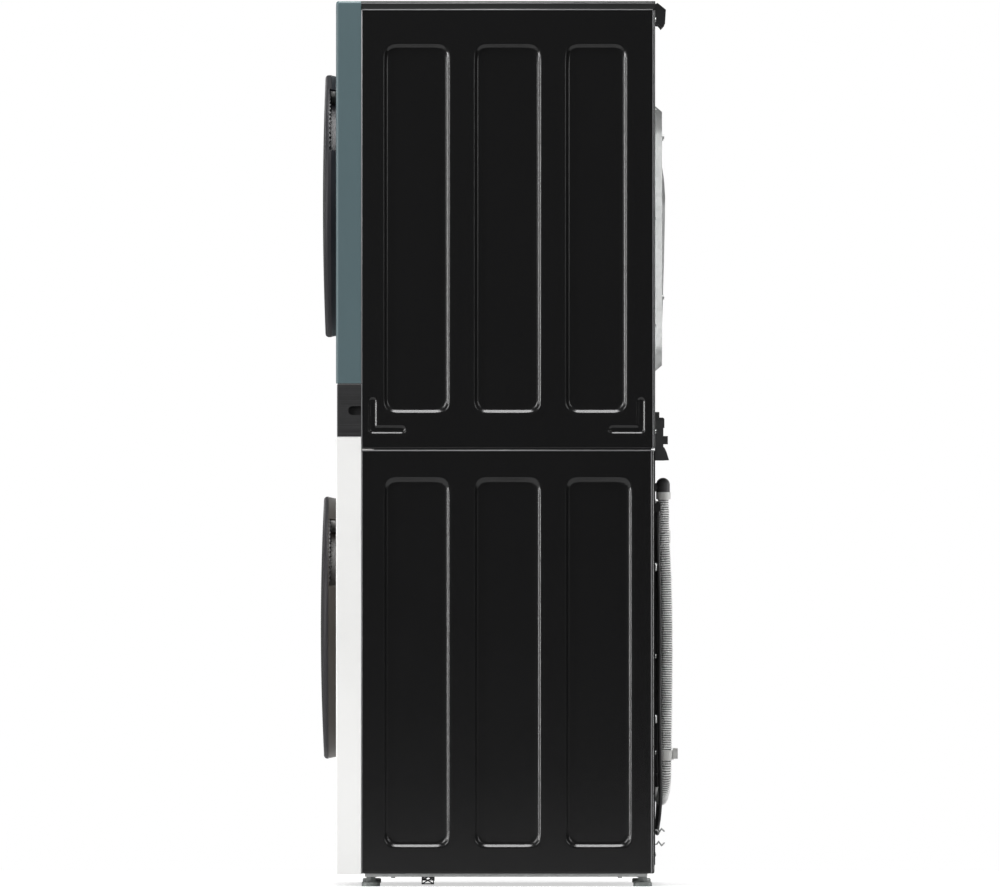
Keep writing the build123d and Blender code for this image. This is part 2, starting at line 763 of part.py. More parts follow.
def drive_belt():
    """Flat belt round the drum and the motor pulley."""
    inner = (dryer_drum_radius + belt_clearance, pulley_radius + belt_clearance)
    outer = [radius + belt_thickness for radius in inner]
    return belt_loop(*outer, (-32, -20)) - belt_loop(*inner, (-33, -19))


def dryer_motor():
    """Motor casing on its foot."""
    body = ring_y(58, motor_shaft_radius + running_gap, (-8, 112), motor_x, motor_z)
    body += ring_y(24, motor_shaft_radius + running_gap, (-14, 120), motor_x, motor_z)
    foot = block((motor_x - 40, motor_x + 40), (10, 90), (828, motor_z - 50))
    return body + foot


def fan_wheel():
    """Centrifugal fan: back plate, front ring and straight blades."""
    radius = 70.0
    blades = 24
    wheel = disc_y(radius, (184, 187), motor_x, motor_z)
    wheel += ring_y(radius, 50, (148, 151), motor_x, motor_z)
    wheel += disc_y(16, (165, 185), motor_x, motor_z)
    for index in range(blades):
        blade = block((52, radius - 1), (150, 185), (-0.8, 0.8))
        wheel += Pos(motor_x, 0, motor_z) * Rot(0, index * 360 / blades, 0) * blade
    return wheel


def fan_rotor():
    """Motor shaft with the belt pulley at its front end and the fan at its rear end."""
    shaft = disc_y(motor_shaft_radius, (-44, 192), motor_x, motor_z)
    pulley = disc_y(pulley_radius, (-36, -16), motor_x, motor_z)
    return shaft + pulley + fan_wheel()


def compressor():
    """Sealed compressor on its mounting foot."""
    x = 205.0
    y = 120.0
    body = disc_z(56, (842, 1010), x, y)
    body = fillet(body.edges().filter_by(GeomType.CIRCLE), 22)
    return body + disc_z(66, (834, 846), x, y)


def heat_exchanger(y_low, y_high):
    """Finned block with its tube ends."""
    core = block((-100, 115), (y_low, y_high), (834, 985))
    fins = 18
    pitch = 215 / fins
    for index in range(fins):
        x = -100 + (index + 0.35) * pitch
        core -= block((x, x + 0.55 * pitch), (y_low - 1, y_high + 1), (842, 977))
    middle = (y_low + y_high) / 2
    for z in (868, 910, 952):
        core += rod((-112, middle, z), (127, middle, z), 5)
    return core


def pipe(points, radius, bend):
    path = FilletPolyline(*points, radius=bend)
    return sweep(Plane(origin=path @ 0, z_dir=path % 0) * Circle(radius), path=path)


def refrigerant_circuit():
    """Compressor, evaporator and condenser with the two pipes that join them."""
    suction = pipe([(186, 120, 1010), (186, 120, 1034), (186, -105, 1034), (186, -105, 952),
                    (127, -105, 952)], 5, 12)
    hot = pipe([(127, 70, 868), (162, 70, 868), (162, 84, 868)], 4, 8)
    return Part() + [compressor(), heat_exchanger(-165, -45), heat_exchanger(10, 130), suction, hot]


def heat_pump_base():
    """Moulded tray under the dryer, with the fan's scroll."""
    tray = block((-290, 290), (-226, 284), (820, 850))
    tray -= block((-286, 286), (-222, 280), (828, 851))
    scroll = ring_y(84, 80, (140, 196), motor_x, motor_z)
    scroll += ring_y(84, 60, (196, 199), motor_x, motor_z)
    stand = block((motor_x - 50, motor_x + 50), (160, 196), (826, motor_z - 70))
    stand -= disc_y(80, (130, 210), motor_x, motor_z)
    return tray + scroll + stand


def lint_filter():
    """Two-sided screen in a frame, pulled up by its lip."""
    frame = block(filter_x, filter_y, (992, 1088))
    for low, high in ((filter_x[0] + 6, -4), (4, filter_x[1] - 6)):
        frame -= block((low, high), widened(filter_y, 1), (1000, 1078))
        frame += block((low - 1, high + 1), (-248, -246.6), (999, 1079))
    lip = block((-30, 30), (-251, -243), (1087, 1096))
    return frame + lip


# ---------------------------------------------------------------- washer inside
def door_gasket():
    """Rubber bellows from the front panel's mouth to the tub."""
    outline = [(194, -302.6), (194, -299), (179, -299), (179, -282), (186, -273), (179, -264),
               (186, -255), (179, -246), (179, -241), (176, -241), (176, -247), (182, -255),
               (175.5, -264), (182, -273), (166, -282), (166, -286), (175.5, -290),
               (175.5, -302.6)]
    return turned_y(outline, 0, washer_axis_z)


def tub_front():
    collar = ring_y(179, 173, (-241, -215), 0, washer_axis_z)
    wall = ring_y(tub_radius, 173, (-219, -215), 0, washer_axis_z)
    shell = ring_y(tub_radius, tub_radius - tub_wall, (-219, -12), 0, washer_axis_z)
    rim = ring_y(tub_radius + 7, tub_radius - tub_wall, (-18, -12), 0, washer_axis_z)
    return collar + wall + shell + rim


def tub_rear():
    """Rear half of the tub with the bearing hub."""
    bore = washer_shaft_radius + running_gap
    shell = ring_y(tub_radius, tub_radius - tub_wall, (-12, 184), 0, washer_axis_z)
    rim = ring_y(tub_radius + 7, tub_radius - tub_wall, (-12, -6), 0, washer_axis_z)
    wall = ring_y(tub_radius, bore, (178, 184), 0, washer_axis_z)
    hub = ring_y(45, bore, (182, 214), 0, washer_axis_z)
    body = shell + rim + wall + hub
    for index in range(8):
        rib = block((44, tub_radius - 1), (183, 189), (-2, 2))
        body += Pos(0, 0, washer_axis_z) * Rot(0, index * 45 + 22.5, 0) * rib
    return body


def washer_drum():
    """Stainless drum with a rolled mouth, three paddles, rear spider and shaft."""
    wall = 1.5
    mouth = 165.0
    radius = washer_drum_radius
    shell = turned_y([
        (mouth, -206), (mouth + 6, -208), (radius - 8, -200), (radius, -192), (radius, 160),
        (radius - 6, 166), (washer_shaft_radius, 166), (washer_shaft_radius, 240), (0, 240),
        (0, 166 - wall), (radius - 6.5, 166 - wall), (radius - wall, 159.5),
        (radius - wall, -191.5), (radius - 8.6, -198.4), (mouth + 6, -206.4)], 0, washer_axis_z)
    for angle in (90, 210, 330):
        shell += lifter(radius, 52, 60, (-170, 150), washer_axis_z, angle)
        arm = block((0, radius - 12), (165, 174), (-14, 14))
        shell += Pos(0, 0, washer_axis_z) * Rot(0, angle + 60, 0) * arm
    return shell


def motor_stator():
    """Wound ring of the direct-drive motor on the tub's rear wall."""
    stator = ring_y(92, 60, (191, 215), 0, washer_axis_z)
    for index in range(24):
        pole = block((90, 118), (193, 213), (-6, 6))
        stator += Pos(0, 0, washer_axis_z) * Rot(0, index * 15, 0) * pole
    return stator


def washer_rotor():
    """Cup with the magnets, turning round the stator on the drum's shaft."""
    cup = ring_y(128, 122, (192, 236), 0, washer_axis_z)
    cup += disc_y(128, (232, 236), 0, washer_axis_z)
    cup += disc_y(32, (220, 236), 0, washer_axis_z)
    for index in range(12):
        slot = block((60, 104), (230, 238), (-7, 7))
        cup -= Pos(0, 0, washer_axis_z) * Rot(0, index * 30, 0) * slot
    return cup - disc_y(washer_shaft_radius, (210, 240), 0, washer_axis_z)


def counterweights():
    """Upper and lower concrete weights round the tub's mouth."""
    ring = ring_y(264, 200, (-254, -219.2), 0, washer_axis_z)
    middle = block((-300, 300), (-256, -218), (washer_axis_z - 70, washer_axis_z + 70))
    return ring - middle


def suspension_spring(x, y, z_low, z_high):
    """Coil spring that the tub hangs from."""
    turns = 9
    coil = Helix((z_high - z_low) / turns, z_high - z_low, 11)
    wire = sweep(Plane(origin=coil @ 0, z_dir=coil % 0) * Circle(1.4), path=coil)
    return Pos(x, y, z_low) * wire


def damper(side, y):
    """Friction damper between the base and the underside of the tub."""
    low = (side * 236, y, 44)
    high = (side * 158, y, 246)
    line = [a + 0.58 * (b - a) for a, b in zip(low, high)]
    neck = [a + 0.5 * (b - a) for a, b in zip(low, high)]
    return rod(low, line, 14) + rod(neck, high, 6)


def tub_mountings():
    """What loads and carries the tub: two weights, two springs and four dampers."""
    parts = Part() + counterweights()
    for side in (-1, 1):
        parts += suspension_spring(side * 176, 70, 712, 800)
        for y in (-70, 90):
            parts += damper(side, y)
    return parts


def drain_pump():
    """Pump with its round filter housing at the front and its motor behind."""
    body = disc_y(38, (-252, -160), pump_x, pump_z)
    body += disc_y(30, (-162, -100), pump_x, pump_z)
    body += rod((pump_x, -200, pump_z + 20), (pump_x + 30, -190, pump_z + 90), 14)
    body += block((pump_x - 34, pump_x + 34), (-240, -170), (26, pump_z - 30))
    return body - disc_y(cap_plug_radius + running_gap, (-256, -205), pump_x, pump_z)


def filter_cap():
    """Turning cap of the pump filter, with a grip bar."""
    cap = disc_y(34, (-264, -254), pump_x, pump_z)
    cap += disc_y(cap_plug_radius, (-256, -208), pump_x, pump_z)
    return cap + block((pump_x - 28, pump_x + 28), (-276, -263), (pump_z - 5, pump_z + 5))


def service_flap():
    """Small cover over the pump filter, with two pins to turn on along its lower edge."""
    flap = block(flap_x, (front_y, front_y + 3), flap_z)
    for x in flap_x:
        centre = Pos(x, front_y + 1.8, flap_z[0] + 2) * Rot(0, 90, 0)
        flap += centre * Cylinder(1.5, 2.4)
    return flap


def drawer_housing():
    """Open-fronted tray that the drawer runs in."""
    outer = block((-281.5, -92), (front_y + skin, -40), (742, 813))
    return outer - block((-279.4, -94.6), (front_y, -44), (746.4, 808.6))


def detergent_drawer():
    """Drawer with three cups behind its front plate."""
    front = block(drawer_x, (front_y, front_y + 4), drawer_z)
    tray = block((-276, -98), (front_y + 3, -60), (750, 798))
    for low, high in ((-273, -219), (-215, -158), (-154, -101)):
        tray -= block((low, high), (front_y + 7, -64), (754, 799))
    return front + tray


# ---------------------------------------------------------------- assembly
def cabinet_nodes():
    return {
        "top_panel": top_panel(),
        "dryer_side_right": dryer_side(),
        "dryer_side_left": mirrored(dryer_side()),
        "washer_side_right": washer_side(),
        "washer_side_left": mirrored(washer_side()),
        "dryer_front_panel": dryer_front_panel(),
        "control_panel": control_panel(),
        "washer_front_panel": washer_front_panel(),
        "display_window": display_window(),
        "dryer_rear_panel": dryer_rear_panel(),
        "rear_duct_cover": rear_duct_cover(),
        "washer_rear_panel": washer_rear_panel(),
        "base_pan": base_pan(),
        "foot_front_right": levelling_foot(foot_x, foot_front_y),
        "foot_front_left": levelling_foot(-foot_x, foot_front_y),
        "foot_rear_right": levelling_foot(foot_x, foot_rear_y),
        "foot_rear_left": levelling_foot(-foot_x, foot_rear_y),
        "rear_fasteners": rear_fasteners(),
        "panel_spacers": panel_spacers(),
        "valve_housing": valve_housing(),
        "drain_elbow": drain_elbow(),
        "hose_clips": hose_clips(),
        "cord_gland": cord_gland(),
        "drain_hose": cord_tube(hose_route, hose_radius),
        "power_cord": cord_tube(cord_route, cord_radius),
        "power_plug": power_plug(),
        "door_hardware": door_hardware(),
    }


def door_nodes():
    washer = washer_axis_z
    dryer = dryer_axis_z
    return {
        "washer_door_cover": door_cover("washer", washer_dome_y, -328.6, -320.0, washer),
        "washer_door_ring": door_ring("washer", -328.6, -320.0, 242.5, 176, washer),
        "washer_door_bowl": washer_door_bowl(),
        "dryer_door_cover": door_cover("dryer", dryer_dome_y, -325.8, -314.0, dryer),
        "dryer_door_ring": door_ring("dryer", -325.8, -314.0, 243.5, 200, dryer),
        "dryer_door_liner": dryer_door_liner(),
        "dryer_door_window": dryer_door_window(),
    }


def dryer_nodes():
    return {
        "dryer_bulkhead": dryer_bulkhead(),
        "dryer_drum": dryer_drum(),
        "drum_roller_right": drum_roller(1),
        "drum_roller_left": drum_roller(-1),
        "drive_belt": drive_belt(),
        "dryer_motor": dryer_motor(),
        "fan_rotor": fan_rotor(),
        "refrigerant_circuit": refrigerant_circuit(),
        "heat_pump_base": heat_pump_base(),
        "lint_filter": lint_filter(),
    }


def washer_nodes():
    return {
        "door_gasket": door_gasket(),
        "tub_front": tub_front(),
        "tub_rear": tub_rear(),
        "washer_drum": washer_drum(),
        "motor_stator": motor_stator(),
        "washer_rotor": washer_rotor(),
        "tub_mountings": tub_mountings(),
        "drain_pump": drain_pump(),
        "filter_cap": filter_cap(),
        "service_flap": service_flap(),
        "drawer_housing": drawer_housing(),
        "detergent_drawer": detergent_drawer(),
    }


def main():
    os.makedirs("parts", exist_ok=True)
    nodes = {**cabinet_nodes(), **door_nodes(), **dryer_nodes(), **washer_nodes()}
    for name, x in button_places.items():
        nodes[name] = push_button(x)
    for name, solid in nodes.items():
        export_step(solid, f"parts/{name}.step")


main()
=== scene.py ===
"""Looks of the laundry tower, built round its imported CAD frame. Metres, +Z up, front at -Y."""
import json
import math

import bmesh
import bpy
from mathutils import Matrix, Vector

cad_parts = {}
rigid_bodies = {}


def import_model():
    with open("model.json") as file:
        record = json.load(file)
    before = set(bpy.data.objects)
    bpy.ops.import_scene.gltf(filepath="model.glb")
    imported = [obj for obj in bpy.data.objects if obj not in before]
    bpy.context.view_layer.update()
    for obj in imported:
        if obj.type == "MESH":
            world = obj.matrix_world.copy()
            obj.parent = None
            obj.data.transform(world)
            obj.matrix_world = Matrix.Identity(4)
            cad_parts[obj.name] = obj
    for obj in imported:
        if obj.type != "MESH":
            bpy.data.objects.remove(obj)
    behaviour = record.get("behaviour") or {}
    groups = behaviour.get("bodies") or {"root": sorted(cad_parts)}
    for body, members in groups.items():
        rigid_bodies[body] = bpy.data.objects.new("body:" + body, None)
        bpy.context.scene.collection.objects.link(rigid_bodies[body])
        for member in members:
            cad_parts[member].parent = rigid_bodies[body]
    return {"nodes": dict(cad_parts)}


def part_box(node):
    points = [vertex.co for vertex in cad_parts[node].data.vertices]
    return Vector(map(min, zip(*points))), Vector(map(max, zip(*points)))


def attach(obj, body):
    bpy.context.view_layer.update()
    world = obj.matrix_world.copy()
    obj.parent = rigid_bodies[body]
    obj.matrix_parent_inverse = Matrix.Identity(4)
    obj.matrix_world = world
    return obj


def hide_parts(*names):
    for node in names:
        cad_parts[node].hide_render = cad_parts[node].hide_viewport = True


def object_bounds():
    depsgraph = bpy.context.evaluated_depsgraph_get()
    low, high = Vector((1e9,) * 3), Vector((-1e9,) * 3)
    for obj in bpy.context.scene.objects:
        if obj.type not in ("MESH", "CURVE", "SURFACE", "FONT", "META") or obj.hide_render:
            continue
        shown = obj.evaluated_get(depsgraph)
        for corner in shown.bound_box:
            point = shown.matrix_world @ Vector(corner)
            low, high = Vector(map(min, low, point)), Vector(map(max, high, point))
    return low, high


for leftover in list(bpy.data.objects):
    bpy.data.objects.remove(leftover)
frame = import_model()
nodes = frame["nodes"]
cad_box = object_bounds()
MM = 0.001


# ---------------------------------------------------------------- camera and light
LENS = 1200.0
SENSOR = 36.0
VIEW_WIDTH = 1.869          # metres across the picture at the machine's right-hand side
AIM_Y = 0.0019
AIM_Z = 0.828
SIDE_X = cad_box[1].x       # the machine's right-hand side
STUDIO_MIDDLE = (0, 0, 0.85)
FLOOR_HALF = (1.9, 2.2, 1)
WORLD_SEEN = 1.0            # brightness of the backdrop to the camera
WORLD_LIGHT = 0.07          # and as a light


def make_camera():
    """Long lens, level and square to the right-hand side."""
    data = bpy.data.cameras.new("camera")
    data.lens = LENS
    data.sensor_width = SENSOR
    data.clip_start = 0.1
    data.clip_end = 200
    camera = bpy.data.objects.new("camera", data)
    bpy.context.scene.collection.objects.link(camera)
    camera.location = (SIDE_X + VIEW_WIDTH * LENS / SENSOR, AIM_Y, AIM_Z)
    camera.rotation_euler = (math.radians(90), 0, math.radians(90))
    bpy.context.scene.camera = camera


def area_light(name, place, size, power):
    """Soft box aimed at the middle of the machine."""
    data = bpy.data.lights.new(name, "AREA")
    data.shape = "RECTANGLE"
    data.size, data.size_y = size
    data.energy = power
    light = bpy.data.objects.new(name, data)
    light.location = place
    aim = Vector(STUDIO_MIDDLE) - Vector(place)
    light.rotation_euler = aim.to_track_quat("-Z", "Y").to_euler()
    bpy.context.scene.collection.objects.link(light)


def make_world():
    """White to look at, and a softer grey as light."""
    world = bpy.data.worlds.new("studio")
    bpy.context.scene.world = world
    world.use_nodes = True
    tree = world.node_tree
    background = tree.nodes["Background"]
    background.inputs["Color"].default_value = (1, 1, 1, 1)
    ray = tree.nodes.new("ShaderNodeLightPath")
    strength = tree.nodes.new("ShaderNodeMapRange")
    strength.inputs["To Min"].default_value = WORLD_LIGHT
    strength.inputs["To Max"].default_value = WORLD_SEEN
    tree.links.new(ray.outputs["Is Camera Ray"], strength.inputs["Value"])
    tree.links.new(strength.outputs["Result"], background.inputs["Strength"])


def make_studio():
    """Soft boxes at both sides of the camera, strips for the edges, fills and a top light."""
    make_world()
    area_light("soft_front", (4.4, -3.6, 2.7), (1.8, 2.2), 122)
    area_light("soft_rear", (4.4, 3.4, 2.3), (1.6, 2.0), 40)
    area_light("strip_front", (1.5, -4.6, 0.95), (0.5, 2.2), 95)
    area_light("strip_rear", (-0.25, 4.6, 0.95), (0.5, 2.2), 70)
    area_light("left_fill", (-3.8, -2.8, 2.6), (2.2, 2.2), 45)
    area_light("rear_fill", (-2.4, 4.2, 2.6), (2.2, 2.2), 40)
    area_light("overhead", (0.6, 0, 4.6), (2.0, 2.6), 210)
    bpy.context.scene.view_settings.view_transform = "Standard"


def make_floor():
    mesh = bmesh.new()
    bmesh.ops.create_grid(mesh, x_segments=2, y_segments=2, size=1.0)
    bmesh.ops.scale(mesh, vec=FLOOR_HALF, verts=mesh.verts)
    floor = finished_mesh("floor", mesh, [floor_white()])


# ---------------------------------------------------------------- mesh helpers
def finished_mesh(name, mesh, materials, smooth=False):
    """Turns a bmesh into an object in the scene."""
    data = bpy.data.meshes.new(name)
    mesh.to_mesh(data)
    mesh.free()
    for material in materials:
        data.materials.append(material)
    for face in data.polygons:
        face.use_smooth = smooth
    piece = bpy.data.objects.new(name, data)
    bpy.context.scene.collection.objects.link(piece)
    return piece


def nurbs_line(name, points):
    """Curve object whose one smooth spline has the route's points as control points."""
    data = bpy.data.curves.new(name, "CURVE")
    data.dimensions = "3D"
    data.resolution_u = 12
    spline = data.splines.new("NURBS")
    spline.points.add(len(points) - 1)
    for control, point in zip(spline.points, points):
        control.co = (*(value * MM for value in point), 1)
    spline.order_u = 3
    spline.use_endpoint_u = True
    line = bpy.data.objects.new(name, data)
    bpy.context.scene.collection.objects.link(line)
    return line


def line_points(line):
    """Points along a curve object, read from its own spline."""
    mesh = bpy.data.meshes.new_from_object(line)
    points = [vertex.co.copy() for vertex in mesh.vertices]
    bpy.data.meshes.remove(mesh)
    return points


def resampled(points, spacing):
    """The same line with points an even distance apart."""
    total = sum((b - a).length for a, b in zip(points, points[1:]))
    count = max(2, round(total / spacing))
    step = total / count
    result = [points[0].copy()]
    travelled = 0.0
    for a, b in zip(points, points[1:]):
        length = (b - a).length
        while travelled + length >= step * len(result) - 1e-9 and len(result) < count:
            result.append(a.lerp(b, (step * len(result) - travelled) / length))
        travelled += length
    result.append(points[-1].copy())
    return result


def tube_along(name, path, radii, sides, materials):
    """Closed tube that follows a path, with its own radius at each point."""
    mesh = bmesh.new()
    across = (path[1] - path[0]).orthogonal().normalized()
    rings = []
    for index, (point, radius) in enumerate(zip(path, radii)):
        before = path[max(index - 1, 0)]
        after = path[min(index + 1, len(path) - 1)]
        along = (after - before).normalized()
        across = (across - along * across.dot(along)).normalized()
        other = along.cross(across)
        ring = []
        for side in range(sides):
            angle = 2 * math.pi * side / sides
            offset = across * math.cos(angle) + other * math.sin(angle)
            ring.append(mesh.verts.new(point + offset * radius))
        rings.append(ring)
    for first, second in zip(rings, rings[1:]):
        for side in range(sides):
            turn = (side + 1) % sides
            mesh.faces.new((first[side], first[turn], second[turn], second[side]))
    mesh.faces.new(list(reversed(rings[0])))
    mesh.faces.new(rings[-1])
    return finished_mesh(name, mesh, materials, smooth=True)


def boxes_piece(name, boxes, edge, material):
    """One fixed piece made of softly bevelled boxes, each given by its X, Y and Z limits."""
    mesh = bmesh.new()
    for spans in boxes:
        size = [high - low for low, high in spans]
        centre = [(high + low) / 2 for low, high in spans]
        made = bmesh.ops.create_cube(mesh, size=1.0)
        bmesh.ops.scale(mesh, vec=size, verts=made["verts"])
        bmesh.ops.translate(mesh, vec=centre, verts=made["verts"])
    bmesh.ops.bevel(mesh, geom=mesh.edges[:], offset=edge, segments=3, affect="EDGES")
    piece = finished_mesh(name, mesh, [material], smooth=True)
    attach(piece, "cabinet")


def both_sides(x_span):
    """A limit pair on the right-hand side and its mirror image."""
    return (x_span, (-x_span[1], -x_span[0]))


# ---------------------------------------------------------------- material helpers
MIX_FACTOR = 0              # sockets of a mix node set to colours
MIX_FIRST = 6
MIX_SECOND = 7
MIX_RESULT = 2


class Surface:
    """A material made of one Principled shader and the procedural nodes that feed it."""

    def __init__(self, name, colour, roughness, **sockets):
        self.material = bpy.data.materials.new(name)
        self.material.use_nodes = True
        self.tree = self.material.node_tree
        self.shader = self.tree.nodes["Principled BSDF"]
        self.shader.inputs["Base Color"].default_value = (*colour, 1)
        self.shader.inputs["Roughness"].default_value = roughness
        for socket, value in sockets.items():
            self.shader.inputs[socket.replace("_", " ")].default_value = value
        self.colour = colour
        self.coordinates = self.node("ShaderNodeTexCoord").outputs["Object"]

    def node(self, kind, **values):
        """A new node with some of its settings."""
        made = self.tree.nodes.new(kind)
        for name, value in values.items():
            setattr(made, name, value)
        return made

    def link(self, source, target):
        self.tree.links.new(source, target)

    def stretched(self, scale):
        """Object coordinates, scaled per axis."""
        mapping = self.node("ShaderNodeMapping")
        mapping.inputs["Scale"].default_value = scale
        self.link(self.coordinates, mapping.inputs["Vector"])
        return mapping.outputs["Vector"]

    def noise(self, scale, detail=3.0, vector=None):
        """Soft noise, in object coordinates unless a vector is given."""
        texture = self.node("ShaderNodeTexNoise")
        texture.inputs["Scale"].default_value = scale
        texture.inputs["Detail"].default_value = detail
        self.link(vector or self.coordinates, texture.inputs["Vector"])
        return texture.outputs["Fac"]

    def around_y(self, axis_z):
        """Object X, Y and Z as separate outputs, and Z counted from an axis along Y."""
        split = self.node("ShaderNodeSeparateXYZ")
        self.link(self.coordinates, split.inputs["Vector"])
        raised = self.node("ShaderNodeMath", operation="SUBTRACT")
        raised.inputs[1].default_value = axis_z
        self.link(split.outputs["Z"], raised.inputs[0])
        return split.outputs, raised.outputs["Value"]

    def mixed(self, factor, first, second):
        """Base colour that goes from the first colour to the second one."""
        mix = self.node("ShaderNodeMix", data_type="RGBA")
        mix.inputs[MIX_FIRST].default_value = (*first, 1)
        mix.inputs[MIX_SECOND].default_value = (*second, 1)
        self.link(factor, mix.inputs[MIX_FACTOR])
        self.link(mix.outputs[MIX_RESULT], self.shader.inputs["Base Color"])

    def ranged(self, value, low, high, start=0.3, end=0.7):
        """Maps a texture's middle range to low..high."""
        mapper = self.node("ShaderNodeMapRange")
        mapper.inputs["From Min"].default_value = start
        mapper.inputs["From Max"].default_value = end
        mapper.inputs["To Min"].default_value = low
        mapper.inputs["To Max"].default_value = high
        self.link(value, mapper.inputs["Value"])
        return mapper.outputs["Result"]

    def vary_roughness(self, value, low, high, start=0.3, end=0.7):
        """Roughness that follows a texture."""
        self.link(self.ranged(value, low, high, start, end), self.shader.inputs["Roughness"])
        return self

    def vary_colour(self, value, darker, lighter, start=0.3, end=0.7):
        """Mixes two tones of the base colour."""
        self.mixed(self.ranged(value, 0, 1, start, end),
                   [c * darker for c in self.colour],
                   [min(1, c * lighter) for c in self.colour])
        return self

    def bump(self, height, strength, distance):
        """Fine relief; the distance is in metres."""
        bump = self.node("ShaderNodeBump")
        bump.inputs["Strength"].default_value = strength
        bump.inputs["Distance"].default_value = distance
        self.link(height, bump.inputs["Height"])
        self.link(bump.outputs["Normal"], self.shader.inputs["Normal"])
        return self


# ---------------------------------------------------------------- materials
def floor_white():
    """Pale floor that the camera sees almost shadowless."""
    surface = Surface("floor_white", (0.6, 0.6, 0.6), 0.8, Specular_IOR_Level=0.2,
                      Emission_Color=(1, 1, 1, 1))
    seen = surface.node("ShaderNodeLightPath").outputs["Is Camera Ray"]
    surface.link(surface.ranged(seen, 0.0, 0.6, 0, 1), surface.shader.inputs["Emission Strength"])
    return surface.vary_roughness(surface.noise(6), 0.75, 0.9).material


def painted(name, colour, roughness, peel=0.05):
    """Sprayed steel: slight orange peel, soft uneven gloss, faint colour drift."""
    surface = Surface(name, colour, roughness)
    surface.vary_roughness(surface.noise(7.0), roughness * 0.97, roughness * 1.04)
    surface.vary_colour(surface.noise(3.0), 0.97, 1.03)
    return surface.bump(surface.noise(900.0, 2.0), peel, 0.0004).material


def moulded(name, colour, roughness, grain=0.12):
    """Injection-moulded plastic with a fine spark-eroded grain."""
    surface = Surface(name, colour, roughness)
    surface.vary_roughness(surface.noise(25.0), roughness * 0.93, roughness * 1.08)
    surface.vary_colour(surface.noise(14.0), 0.94, 1.06)
    return surface.bump(surface.noise(1800.0, 2.0), grain, 0.0003).material


def brushed_control():
    """Dark control panel with fine brushing from end to end."""
    surface = Surface("control_brushed", (0.034, 0.034, 0.035), 0.42, Metallic=0.35)
    lines = surface.noise(1.0, 4.0, surface.stretched((3, 3, 1500)))
    surface.vary_colour(lines, 0.45, 1.7)
    surface.vary_roughness(lines, 0.34, 0.52)
    return surface.bump(lines, 0.25, 0.0002).material


def galvanised():
    """Zinc-coated sheet with large crystals."""
    surface = Surface("galvanised_spangle", (0.50, 0.51, 0.505), 0.36, Metallic=0.8)
    spangle = surface.node("ShaderNodeTexVoronoi", feature="F1")
    spangle.inputs["Scale"].default_value = 110.0
    surface.link(surface.coordinates, spangle.inputs["Vector"])
    grey = surface.node("ShaderNodeRGBToBW")
    surface.link(spangle.outputs["Color"], grey.inputs["Color"])
    surface.vary_colour(grey.outputs["Val"], 0.93, 1.06, 0.1, 0.9)
    surface.vary_roughness(grey.outputs["Val"], 0.34, 0.44, 0.1, 0.9)
    return surface.bump(surface.noise(700.0), 0.06, 0.0003).material


def stainless_drum(name, axis_z):
    """Brushed drum steel with rows of small holes round its wall."""
    surface = Surface(name, (0.62, 0.62, 0.61), 0.26, Metallic=1.0)
    place, raised = surface.around_y(axis_z)
    turn = surface.node("ShaderNodeMath", operation="ARCTAN2")
    surface.link(raised, turn.inputs[0])
    surface.link(place["X"], turn.inputs[1])
    grid = surface.node("ShaderNodeCombineXYZ")
    surface.link(turn.outputs["Value"], grid.inputs["X"])
    along = surface.node("ShaderNodeMath", operation="MULTIPLY")
    along.inputs[1].default_value = 4.0
    surface.link(place["Y"], along.inputs[0])
    surface.link(along.outputs["Value"], grid.inputs["Y"])
    holes = surface.node("ShaderNodeTexVoronoi", feature="F1", voronoi_dimensions="2D")
    holes.inputs["Scale"].default_value = 16.0
    holes.inputs["Randomness"].default_value = 0.0
    surface.link(grid.outputs["Vector"], holes.inputs["Vector"])
    solid = surface.ranged(holes.outputs["Distance"], 0, 1, 0.14, 0.17)
    surface.vary_colour(solid, 0.05, 1.0, 0.0, 1.0)
    surface.vary_roughness(surface.noise(1.0, 3.0, surface.stretched((200, 2, 200))), 0.18, 0.34)
    return surface.bump(solid, 0.6, 0.001).material


DOOR_RIM_STARTS = 0.2175    # radius where the dark middle of a door cover ends
DOOR_RIM_BLEND = 0.001


def door_glass(name, axis_z, rim_colour, centre_colour):
    """Smoked door cover: near-black glossy middle and a lighter satin rim."""
    surface = Surface(name, rim_colour, 0.2, Specular_IOR_Level=0.3)
    place, raised = surface.around_y(axis_z)
    reach = surface.node("ShaderNodeCombineXYZ")
    surface.link(place["X"], reach.inputs["X"])
    surface.link(raised, reach.inputs["Y"])
    length = surface.node("ShaderNodeVectorMath", operation="LENGTH")
    surface.link(reach.outputs["Vector"], length.inputs[0])
    mask = surface.ranged(length.outputs["Value"], 0, 1, DOOR_RIM_STARTS,
                          DOOR_RIM_STARTS + DOOR_RIM_BLEND)
    surface.mixed(mask, centre_colour, rim_colour)
    surface.vary_roughness(mask, 0.07, 0.5, 0, 1)
    return surface.bump(surface.noise(1200.0), 0.03, 0.0002).material


def clear_glass():
    surface = Surface("bowl_glass", (0.90, 0.94, 0.95), 0.03, Transmission_Weight=1.0, IOR=1.5)
    return surface.vary_roughness(surface.noise(30.0), 0.01, 0.06).material


def hose_plastic(name, colour):
    """Corrugated hose: slightly uneven grey polypropylene."""
    surface = Surface(name, colour, 0.42, Specular_IOR_Level=0.45)
    surface.vary_colour(surface.noise(40.0), 0.8, 1.15)
    surface.vary_roughness(surface.noise(90.0), 0.34, 0.5)
    return surface.bump(surface.noise(1500.0), 0.1, 0.0003).material


def cord_rubber():
    surface = Surface("cord_black", (0.012, 0.012, 0.013), 0.45)
    surface.vary_roughness(surface.noise(60.0), 0.36, 0.55)
    return surface.bump(surface.noise(1400.0), 0.12, 0.0003).material


